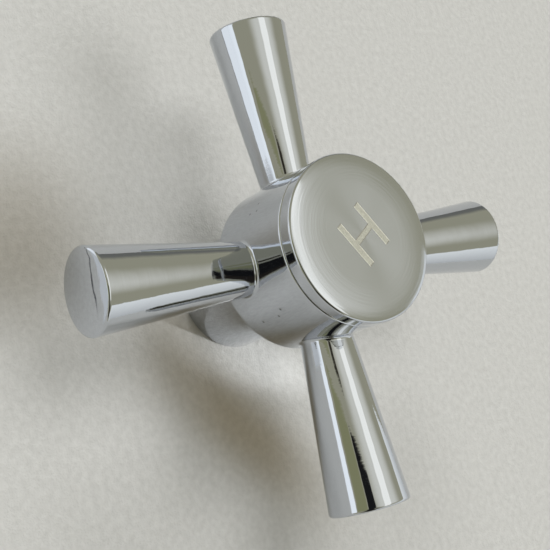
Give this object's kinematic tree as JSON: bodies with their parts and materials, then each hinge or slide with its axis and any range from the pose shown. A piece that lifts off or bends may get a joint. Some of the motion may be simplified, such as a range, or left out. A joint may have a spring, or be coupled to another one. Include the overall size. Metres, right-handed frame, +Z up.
{
  "type": "replacement tap handle",
  "caption": "Chromed cross-head tap handle with tapered arms, a push-in index cap, a hollow stem and a splined socket that fits over a valve spindle.",
  "frame": {"origin": "centre of the stem's lower rim, on which the handle stands", "axes": "+Z up the turning axis to the index cap; the arms point along -Y, +X, +Y and -X"},
  "size_m": [0.075, 0.075, 0.0354],
  "materials": {
    "chrome_plate": "bright chrome plate on a casting",
    "cap_chrome": "bright chrome plate on a turned cap",
    "black_rubber": "matt",
    "brass": "machined",
    "plated_steel": "zinc plate"
  },
  "bodies": {
    "root": {"handle_body": "chrome_plate", "index_cap": "cap_chrome", "cap_o_ring": "black_rubber", "spline_insert": "brass", "fixing_screw": "plated_steel"}
  },
  "joints": []
}
